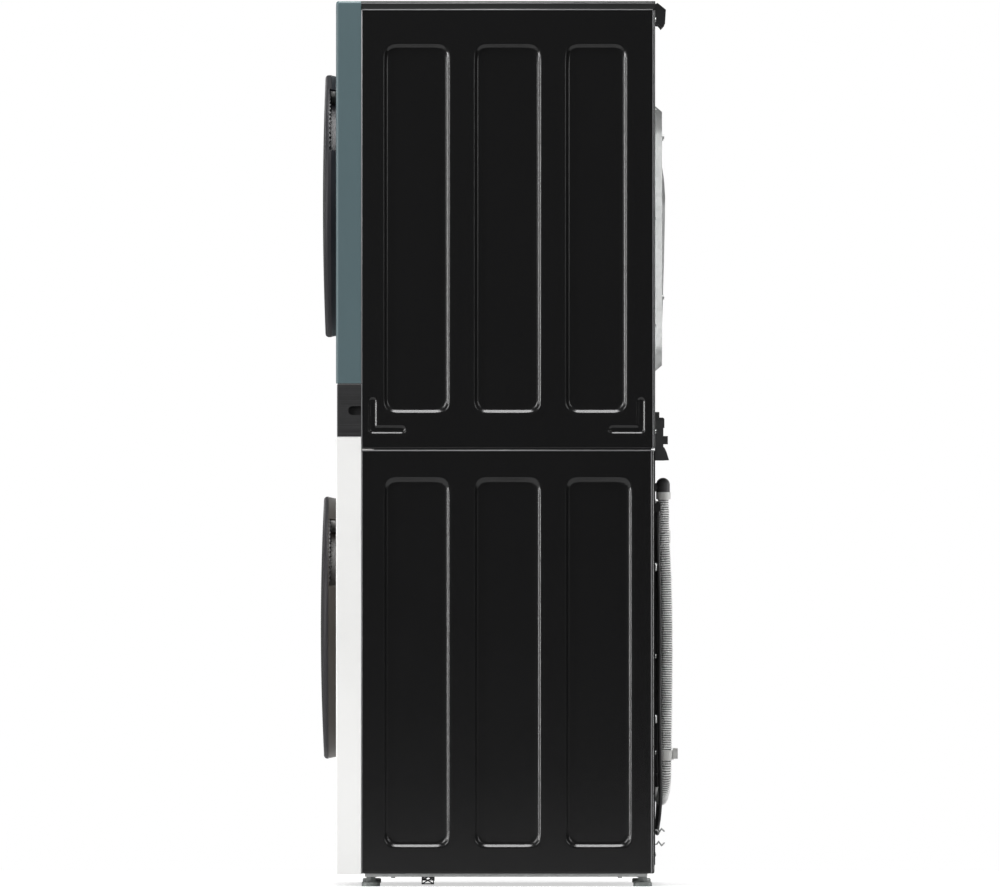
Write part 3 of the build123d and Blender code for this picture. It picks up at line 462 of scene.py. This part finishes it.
def seal_rubber():
    surface = Surface("seal_rubber", (0.17, 0.17, 0.175), 0.55)
    surface.vary_colour(surface.noise(20.0), 0.85, 1.12)
    surface.vary_roughness(surface.noise(60.0), 0.48, 0.65)
    return surface.bump(surface.noise(900.0), 0.15, 0.0004).material


def finned_aluminium():
    surface = Surface("fin_aluminium", (0.62, 0.63, 0.64), 0.35, Metallic=1.0)
    surface.vary_colour(surface.noise(50.0), 0.85, 1.05)
    return surface.bump(surface.noise(600.0), 0.1, 0.0003).material


def cast_grey(name, colour):
    surface = Surface(name, colour, 0.7)
    surface.vary_colour(surface.noise(35.0, 6.0), 0.7, 1.25)
    surface.vary_roughness(surface.noise(80.0), 0.6, 0.85)
    return surface.bump(surface.noise(350.0, 6.0), 0.5, 0.0008).material


def screen_mesh():
    surface = Surface("filter_screen", (0.2, 0.21, 0.22), 0.6)
    weave = surface.node("ShaderNodeTexChecker")
    weave.inputs["Scale"].default_value = 900.0
    surface.link(surface.coordinates, weave.inputs["Vector"])
    surface.vary_colour(weave.outputs["Fac"], 0.5, 1.3, 0, 1)
    return surface.bump(weave.outputs["Fac"], 0.3, 0.0003).material


def door_axis(name):
    """Height of a door's middle."""
    low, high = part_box(f"{name}_door_cover")
    return (low.z + high.z) / 2


def make_materials():
    """All materials, by a short key."""
    washer_z = door_axis("washer")
    dryer_z = door_axis("dryer")
    return {
        "black_paint": painted("cabinet_black", (0.0058, 0.0058, 0.006), 0.24),
        "black_satin": painted("cabinet_top", (0.0075, 0.0075, 0.0078), 0.5),
        "teal_paint": painted("front_teal", (0.088, 0.136, 0.149), 0.42),
        "white_paint": painted("front_white", (0.95, 0.948, 0.935), 0.3),
        "control": brushed_control(),
        "display": moulded("display_glass", (0.006, 0.006, 0.008), 0.08, 0.0),
        "zinc": galvanised(),
        "washer_steel": stainless_drum("washer_drum_steel", washer_z),
        "dryer_steel": stainless_drum("dryer_drum_steel", dryer_z),
        "washer_glass": door_glass("washer_door_glass", washer_z, (0.026, 0.024, 0.027),
                                   (0.010, 0.010, 0.011)),
        "dryer_glass": door_glass("dryer_door_glass", dryer_z, (0.030, 0.029, 0.033),
                                  (0.010, 0.010, 0.011)),
        "foot_metal": painted("foot_metal", (0.26, 0.28, 0.27), 0.3, 0.1),
        # pale grey for the hems and the rear corner strip: a painted highlight on edges that
        # catch the light
        "painted_hem_highlight": painted("hem_painted_highlight", (0.20, 0.20, 0.205), 0.4),
        "ledge": moulded("pocket_ledge", (0.42, 0.41, 0.40), 0.3, 0.04),
        "washer_trim": moulded("washer_door_trim", (0.034, 0.027, 0.021), 0.38, 0.06),
        "dryer_trim": moulded("dryer_door_trim", (0.014, 0.014, 0.019), 0.36, 0.06),
        "glass": clear_glass(),
        "black_plastic": moulded("black_plastic", (0.014, 0.014, 0.015), 0.42),
        "pale_plastic": moulded("pale_plastic", (0.66, 0.66, 0.64), 0.4),
        "tub_plastic": moulded("tub_plastic", (0.52, 0.52, 0.5), 0.45),
        "hose": hose_plastic("hose_grey", (0.86, 0.86, 0.85)),
        # near-black colour for the hose's grooves: painted shade, not the plastic's own tone
        "painted_groove_shade": hose_plastic("hose_painted_groove_shade", (0.025, 0.025, 0.025)),
        "elbow": moulded("elbow_plastic", (0.04, 0.04, 0.041), 0.5, 0.3),
        "cord": cord_rubber(),
        "seal": seal_rubber(),
        "fins": finned_aluminium(),
        "iron": cast_grey("motor_iron", (0.05, 0.05, 0.055)),
        "weight": cast_grey("weight_grey", (0.2, 0.19, 0.18)),
        "screen": screen_mesh(),
    }


NODE_MATERIALS = {
    "black_satin": ("top_panel", "washer_rear_panel"),
    "teal_paint": ("dryer_front_panel",),
    "white_paint": ("washer_front_panel", "service_flap", "detergent_drawer"),
    "control": ("control_panel",),
    "display": ("display_window",),
    "zinc": ("dryer_rear_panel", "rear_duct_cover", "base_pan", "rear_fasteners",
             "door_hardware"),
    "foot_metal": ("foot_front_right", "foot_front_left", "foot_rear_right", "foot_rear_left"),
    "washer_steel": ("washer_drum",),
    "dryer_steel": ("dryer_drum",),
    "washer_glass": ("washer_door_cover",),
    "dryer_glass": ("dryer_door_cover",),
    "washer_trim": ("washer_door_ring",),
    "dryer_trim": ("dryer_door_ring", "dryer_door_liner"),
    "glass": ("washer_door_bowl", "dryer_door_window"),
    "black_plastic": ("panel_spacers", "cord_gland", "power_plug", "fan_rotor",
                      "heat_pump_base", "washer_power_button", "washer_start_button",
                      "dryer_start_button", "dryer_power_button"),
    "elbow": ("drain_elbow", "valve_housing"),
    "pale_plastic": ("hose_clips", "filter_cap"),
    "tub_plastic": ("dryer_bulkhead", "tub_front", "tub_rear", "drain_pump", "drawer_housing"),
    "cord": ("drive_belt",),
    "seal": ("door_gasket", "drum_roller_right", "drum_roller_left"),
    "fins": ("refrigerant_circuit",),
    "iron": ("dryer_motor", "motor_stator", "washer_rotor"),
    "weight": ("tub_mountings",),
    "screen": ("lint_filter",),
}


def dress_cad_nodes(materials):
    """Gives every CAD node that stays visible its material."""
    for key, names in NODE_MATERIALS.items():
        for name in names:
            for slot in nodes[name].material_slots:
                slot.material = materials[key]


# ---------------------------------------------------------------- hose and cord
HOSE_DIAMETER = 0.023
HOSE_PITCH = 0.0044
HOSE_VALLEY = 0.0093        # radius in the grooves
HOSE_SIDES = 26
STEPS_PER_RIB = 6
# rib steps given the near-black groove material: painted shade in the hose's grooves
SHADED_GROOVE_STEPS = (2, 3)
HOSE_ROUTE = [              # millimetres, from the elbow to the holder
    (225, 307.5, 724),
    (225, 307.5, 662),
    (225, 313, 565),
    (226, 314.5, 445),
    (225, 313.5, 340),
    (225, 312.3, 261),
    (224, 311.8, 217),
    (216, 310.5, 196),
    (201, 308.5, 179),
    (180, 306.8, 169),
    (138, 305.2, 164),
    (58, 304.4, 161),
    (-40, 304.2, 160),
    (-124, 304.6, 165),
    (-174, 305.4, 178),
    (-206, 306.8, 203),
    (-223, 307.8, 242),
    (-229, 308.8, 305),
    (-231, 309.4, 400),
    (-229, 309.0, 510),
    (-228, 308, 620),
    (-228, 308, 690),
]
CORD_DIAMETER = 0.0078
CORD_ROUTE = [              # millimetres, from the gland to the plug
    (256, 296.6, 694),
    (256, 296.6, 640),
    (257, 299.5, 560),
    (255, 300.5, 460),
    (257, 299.5, 360),
    (255, 300.5, 270),
    (256, 302, 200),
    (251, 302, 160),
    (232, 299.5, 128),
    (200, 297, 112),
    (150, 296.5, 104),
    (74, 297.5, 98),
    (-8, 297, 95),
    (-92, 297.5, 99),
    (-156, 297, 108),
    (-204, 298.5, 125),
    (-238, 300, 153),
    (-255, 301, 195),
    (-261, 302, 255),
    (-258, 302.5, 345),
    (-260, 303, 440),
    (-260, 303, 510),
]


def make_hose(material, groove_shade_material):
    """Corrugated drain hose, ribbed all along its route, with painted shade darkening its
    grooves.
    """
    line = nurbs_line("hose_line", HOSE_ROUTE)
    path = resampled(line_points(line), HOSE_PITCH / STEPS_PER_RIB)
    bpy.data.objects.remove(line)
    rib_height = HOSE_DIAMETER / 2 - HOSE_VALLEY
    radii = []
    for index in range(len(path)):
        wave = 0.5 + 0.5 * math.cos(2 * math.pi * index / STEPS_PER_RIB)
        radii.append(HOSE_VALLEY + rib_height * wave ** 0.7)
    hose = tube_along("drain_hose_ribbed", path, radii, HOSE_SIDES, [material, groove_shade_material])
    for face in hose.data.polygons:
        if (face.index // HOSE_SIDES) % STEPS_PER_RIB in SHADED_GROOVE_STEPS:
            face.material_index = 1
    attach(hose, "cabinet")
    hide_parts("drain_hose")


RELIEF_LENGTH = 0.034
RELIEF_RADIUS = 0.0062
RELIEF_TAPER = 0.0018
RELIEF_RIB = 0.0005
RELIEF_STEP = 0.0008


def make_strain_relief(path, material):
    """Ribbed sleeve that tapers down the cord from its gland."""
    sleeve = [point for point in resampled(path, RELIEF_STEP)
              if (point - path[0]).length <= RELIEF_LENGTH]
    radii = []
    for index in range(len(sleeve)):
        share = index / (len(sleeve) - 1)
        rib = RELIEF_RIB if (index // 3) % 2 else 0.0
        radii.append(RELIEF_RADIUS - RELIEF_TAPER * share + rib * (1 - share))
    relief = tube_along("cord_strain_relief", sleeve, radii, 24, [material])
    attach(relief, "cabinet")
    return relief


def make_cord(material, relief_material):
    """Power cord with its strain relief; the CAD plug ends it."""
    cord = nurbs_line("power_cord_sheath", CORD_ROUTE)
    path = line_points(cord)
    relief = make_strain_relief(path, relief_material)
    cord.data.bevel_depth = CORD_DIAMETER / 2
    cord.data.bevel_resolution = 5
    cord.data.use_fill_caps = True
    cord.data.materials.append(material)
    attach(cord, "cabinet")
    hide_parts("power_cord")


# ---------------------------------------------------------------- pressed side panels
PRESS_DEPTH = 0.006
PRESS_CORNER = 0.024
PRESS_WALL = 1.4            # width of a pressing's wall, in depths
ELL_DEPTH = 0.003
ELL_WIDTH = 0.016
FLANGE = 0.018
ARC_STEPS = 6
EDGE_ROUND = 0.0028
FRONT_ROUND = 0.0026
DRYER_REAR_ROUND = 0.005
WASHER_REAR_ROUND = 0.009
FIRST_PRESS = (-0.2162, -0.0912)
SECOND_PRESS = (-0.0472, 0.0795)
DRYER_THIRD_PRESS = (0.1234, 0.2402)
WASHER_THIRD_PRESS = (0.1234, 0.2494)
DRYER_PRESS_Z = (0.8840, 1.5756)
WASHER_PRESS_Z = (0.0720, 0.7654)
ELL_Z = (0.846, 0.915)
FRONT_ELL_Y = (-0.2439, -0.1738)
REAR_ELL_Y = (0.2734, 0.2041)


def rounded_distance(y, z, y_span, z_span, corner):
    """Signed distance to a rounded rectangle's outline, negative inside it."""
    reach_y = abs(y - sum(y_span) / 2) - abs(y_span[1] - y_span[0]) / 2 + corner
    reach_z = abs(z - sum(z_span) / 2) - (z_span[1] - z_span[0]) / 2 + corner
    outside = math.hypot(max(reach_y, 0), max(reach_z, 0))
    return outside + min(max(reach_y, reach_z), 0) - corner


def pressed(distance, depth):
    """Depth of a pressing with softly rounded walls, at a distance from its outline."""
    share = min(max(-distance / (depth * PRESS_WALL), 0), 1)
    return depth * share * share * (3 - 2 * share)


def rectangle_pressing(y_span, z_span):
    """Upright pressed panel with round corners."""
    return lambda y, z: pressed(rounded_distance(y, z, y_span, z_span, PRESS_CORNER), PRESS_DEPTH)


def ell_pressing(corner_y, toe_y):
    """L-shaped pressing with round ends."""
    side = math.copysign(ELL_WIDTH, toe_y - corner_y)
    leg = sorted((corner_y, corner_y + side))
    foot = sorted((corner_y, toe_y))
    round_end = ELL_WIDTH / 2

    def depth(y, z):
        upright = rounded_distance(y, z, leg, ELL_Z, round_end)
        along = rounded_distance(y, z, foot, (ELL_Z[0], ELL_Z[0] + ELL_WIDTH), round_end)
        return pressed(min(upright, along), ELL_DEPTH)

    return depth


def graded(stops, fine=0.0014, coarse=0.03, growth=0.33):
    """Grid lines from the first stop to the last, closer together near every stop."""
    stops = sorted(stops)
    lines = [stops[0]]
    while lines[-1] < stops[-1] - fine / 2:
        nearest = min(abs(lines[-1] - stop) for stop in stops)
        ahead = [stop for stop in stops if stop > lines[-1] + fine / 2]
        step = min(max(growth * nearest, fine), coarse)
        gap = ahead[0] - lines[-1]
        lines.append(ahead[0] if gap < step * 1.3 else lines[-1] + min(step, gap / 2))
    return lines


def panel_section(front, rear, y_lines, rear_round):
    """Points and outward normals round a side panel, from its front flange to its rear one."""
    section = [((SIDE_X - FLANGE, front), (0, -1))]
    for centre_y, radius, first_deg in ((front + FRONT_ROUND, FRONT_ROUND, -90),
                                        (rear - rear_round, rear_round, 0)):
        for step in range(ARC_STEPS + 1):
            angle = math.radians(first_deg + 90 * step / ARC_STEPS)
            normal = (math.cos(angle), math.sin(angle))
            point = (SIDE_X - radius + radius * normal[0], centre_y + radius * normal[1])
            section.append((point, normal))
        if first_deg < 0:
            section += [((SIDE_X, y), (1, 0)) for y in y_lines
                        if front + FRONT_ROUND < y < rear - rear_round]
    section.append(((SIDE_X - FLANGE, rear), (0, 1)))
    return section


def rounded_in(z, low, high):
    """How far a panel's surface leans in near its lower and upper edges."""
    near_end = min(z - low, high - z)
    if near_end >= EDGE_ROUND:
        return 0.0
    return EDGE_ROUND - math.sqrt(EDGE_ROUND ** 2 - (EDGE_ROUND - near_end) ** 2)


def side_skin(name, node, pressings, stops, rear_round, materials):
    """Detailed outer skin of one side panel; the left-hand ones are the mirror image."""
    low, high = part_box(node)
    mirrored = high.x < 0
    y_stops, z_stops = stops
    section = panel_section(low.y, high.y, graded([low.y, high.y] + y_stops), rear_round)
    mesh = bmesh.new()
    rows = []
    for z in graded([low.z, high.z] + z_stops):
        lean = rounded_in(z, low.z, high.z)
        row = []
        for (x, y), normal in section:
            depth = lean
            if normal == (1, 0):
                depth += max(pressing(y, z) for pressing in pressings)
            px = x - normal[0] * depth
            py = y - normal[1] * depth
            row.append(mesh.verts.new((-px if mirrored else px, py, z)))
        rows.append(row)
    # one face strip on the rear rounding gets the pale hem material: a painted highlight on the
    # rear corner
    painted_highlight_strip = len(section) - ARC_STEPS - 1
    for first, second in zip(rows, rows[1:]):
        for index in range(len(section) - 1):
            corners = [first[index], first[index + 1], second[index + 1], second[index]]
            face = mesh.faces.new(reversed(corners) if mirrored else corners)
            face.material_index = 1 if index == painted_highlight_strip else 0
    skin = finished_mesh(name, mesh, materials, smooth=True)
    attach(skin, "cabinet")
    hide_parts(node)


def make_side_skins(materials):
    """Pressed skins of all four side panels, with a painted highlight strip along the rear
    corner.
    """
    dryer_shapes = [rectangle_pressing(span, DRYER_PRESS_Z)
                    for span in (FIRST_PRESS, SECOND_PRESS, DRYER_THIRD_PRESS)]
    dryer_shapes += [ell_pressing(*FRONT_ELL_Y), ell_pressing(*REAR_ELL_Y)]
    ell_y = [FRONT_ELL_Y[0], FRONT_ELL_Y[0] + ELL_WIDTH, FRONT_ELL_Y[1],
             REAR_ELL_Y[0], REAR_ELL_Y[0] - ELL_WIDTH, REAR_ELL_Y[1]]
    dryer_stops = ([*FIRST_PRESS, *SECOND_PRESS, *DRYER_THIRD_PRESS, *ell_y],
                   [*DRYER_PRESS_Z, *ELL_Z, ELL_Z[0] + ELL_WIDTH])
    washer_shapes = [rectangle_pressing(span, WASHER_PRESS_Z)
                     for span in (FIRST_PRESS, SECOND_PRESS, WASHER_THIRD_PRESS)]
    washer_stops = ([*FIRST_PRESS, *SECOND_PRESS, *WASHER_THIRD_PRESS], [*WASHER_PRESS_Z])
    for side in ("right", "left"):
        side_skin(f"dryer_skin_{side}", f"dryer_side_{side}", dryer_shapes, dryer_stops,
                  DRYER_REAR_ROUND, materials)
        side_skin(f"washer_skin_{side}", f"washer_side_{side}", washer_shapes, washer_stops,
                  WASHER_REAR_ROUND, materials)


# ---------------------------------------------------------------- hems, tabs and channel
HEM_WIDTH = 0.0021
HEM_X = (SIDE_X - 0.0036, SIDE_X + 0.0004)
HEM_EDGE = 0.0003
HEM_END = 0.003             # what the upper hems leave free at the rear corner
LID_HEM_END = 0.002
LID_HEM_DROP = (0.0048, 0.0028)
TAB_X = (0.296, 0.3003)
TAB_LENGTH = 0.0235
TAB_DROP = 0.0004
TAB_RISE = 0.0018
CHANNEL_X = (0.2385, 0.2490)
CHANNEL_Y = 0.2985
CHANNEL_Z = (0.185, 0.690)
BAND_OUT = 0.001            # how far the channel's bands stand out of it
BAND_WIDTH = 0.012
BAND_PLACES = (0.200, 0.360, 0.520, 0.670)


def edge_highlight_hems(material):
    """Rolled hems along the side panels' front and upper edges and the lid's rim; their pale grey
    is a painted highlight on the rounded edges, and along the front edges it also stands for a
    bare steel edge.
    """
    spans = []
    for name in ("dryer_side_right", "washer_side_right"):
        low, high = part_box(name)
        spans.append(((low.y, low.y + HEM_WIDTH), (low.z, high.z)))
    for name in ("dryer_side_right", "washer_side_right"):
        low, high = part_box(name)
        spans.append(((low.y, high.y - HEM_END), (high.z - HEM_WIDTH, high.z)))
    low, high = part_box("top_panel")
    spans.append(((low.y, high.y - LID_HEM_END), tuple(high.z - drop for drop in LID_HEM_DROP)))
    boxes = [(x_span, *span) for x_span in both_sides(HEM_X) for span in spans]
    boxes_piece("side_panel_highlight_hems", boxes, HEM_EDGE, material)


def joint_tabs(material):
    """Pale spacer tabs showing at the front of the joint between the two cabinets."""
    low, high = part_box("washer_side_right")
    boxes = [(x_span, (low.y, low.y + TAB_LENGTH), (high.z - TAB_DROP, high.z + TAB_RISE))
             for x_span in both_sides(TAB_X)]
    boxes_piece("joint_tabs", boxes, 0.0004, material)


def wiring_channel(material):
    """Black cable channel down the washer's back, between the hose and the cord."""
    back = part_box("washer_rear_panel")[1].y
    boxes = [(CHANNEL_X, (back, CHANNEL_Y), CHANNEL_Z)]
    band_x = (CHANNEL_X[0] - BAND_OUT, CHANNEL_X[1] + BAND_OUT)
    boxes += [(band_x, (back, CHANNEL_Y + BAND_OUT), (z, z + BAND_WIDTH)) for z in BAND_PLACES]
    boxes_piece("wiring_channel", boxes, 0.001, material)


# ---------------------------------------------------------------- door grips
TOOTH_COUNT = 14
TOOTH_RADII = (0.2285, 0.2452)
TOOTH_FRONT_Y = -0.3176
TOOTH_HEIGHT = 0.0022
TOOTH_SHARE = (0.1, 0.5, 0.9)   # where a ridge starts, peaks and ends within its step
LEDGE_RADII = (0.2145, 0.2405)
LEDGE_Y = (-0.3150, -0.3062)
LEDGE_LIFT = (0.0001, 0.0013)
LEDGE_FACES = ((0, 1, 3, 2), (4, 6, 7, 5), (0, 4, 5, 1), (2, 3, 7, 6), (0, 2, 6, 4),
               (1, 5, 7, 3))
WASHER_GRIP = (19.0, 57.0)      # degrees up from the door's right-hand edge
DRYER_GRIP = (25.0, 63.0)


def grip_teeth(name, body, start_deg, end_deg, material):
    """Row of small ridges that the fingers feel behind the door's front lip."""
    mesh = bmesh.new()
    axis_z = door_axis(name)
    step = (end_deg - start_deg) / TOOTH_COUNT
    for index in range(TOOTH_COUNT):
        first, peak, last = [math.radians(start_deg + step * (index + share))
                             for share in TOOTH_SHARE]
        outline = ((first, TOOTH_FRONT_Y), (last, TOOTH_FRONT_Y),
                   (peak, TOOTH_FRONT_Y + TOOTH_HEIGHT))
        rings = []
        for radius in TOOTH_RADII:
            rings.append([mesh.verts.new((radius * math.cos(angle), y,
                                          axis_z + radius * math.sin(angle)))
                          for angle, y in outline])
        inner, outer = rings
        mesh.faces.new(inner)
        mesh.faces.new(reversed(outer))
        for side in range(3):
            turn = (side + 1) % 3
            mesh.faces.new((inner[turn], inner[side], outer[side], outer[turn]))
    bmesh.ops.recalc_face_normals(mesh, faces=mesh.faces)
    teeth = finished_mesh(f"{name}_grip_teeth", mesh, [material])
    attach(teeth, body)


def pocket_ledges(name, body, angles, material):
    """Thin pale shelves that close both ends of the finger pocket."""
    mesh = bmesh.new()
    axis_z = door_axis(name)
    for degrees, towards in zip(angles, (1, -1)):
        angle = math.radians(degrees)
        along = Vector((math.cos(angle), 0, math.sin(angle)))
        across = Vector((-math.sin(angle), 0, math.cos(angle))) * towards
        corners = [mesh.verts.new(along * radius + across * lift + Vector((0, y, axis_z)))
                   for radius in LEDGE_RADII for y in LEDGE_Y for lift in LEDGE_LIFT]
        for face in LEDGE_FACES:
            mesh.faces.new([corners[index] for index in face])
    bmesh.ops.recalc_face_normals(mesh, faces=mesh.faces)
    bmesh.ops.bevel(mesh, geom=mesh.edges[:], offset=0.0003, segments=2, affect="EDGES")
    ledges = finished_mesh(f"{name}_pocket_ledges", mesh, [material], smooth=True)
    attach(ledges, body)


def make_grips(teeth_material, ledge_material):
    """Finger grips of both doors."""
    for name, (start, end) in (("washer", WASHER_GRIP), ("dryer", DRYER_GRIP)):
        body = f"{name}_door"
        grip_teeth(name, body, start + 1, end - 1, teeth_material)
        pocket_ledges(name, body, (start, end), ledge_material)


# ---------------------------------------------------------------- putting it together
SOFT_EDGES = {
    "top_panel": 0.0012,
    "valve_housing": 0.0012,
    "panel_spacers": 0.001,
    "detergent_drawer": 0.0008,
    "service_flap": 0.0006,
    "display_window": 0.0005,
    "base_pan": 0.0004,
}


def soften_edges():
    """Small moulded or folded radius on the crisp edges of simple CAD nodes."""
    for name, width in SOFT_EDGES.items():
        bevel = nodes[name].modifiers.new("soft_edges", "BEVEL")
        bevel.width = width
        bevel.segments = 3
        bevel.limit_method = "ANGLE"
        bevel.angle_limit = math.radians(40)
        bevel.harden_normals = True


def main():
    make_camera()
    materials = make_materials()
    make_hose(materials["hose"], materials["painted_groove_shade"])
    make_cord(materials["cord"], materials["black_plastic"])
    dress_cad_nodes(materials)
    make_side_skins([materials["black_paint"], materials["painted_hem_highlight"]])
    edge_highlight_hems(materials["painted_hem_highlight"])
    joint_tabs(materials["ledge"])
    wiring_channel(materials["black_plastic"])
    make_grips(materials["dryer_trim"], materials["ledge"])
    soften_edges()
    make_floor()
    make_studio()


main()
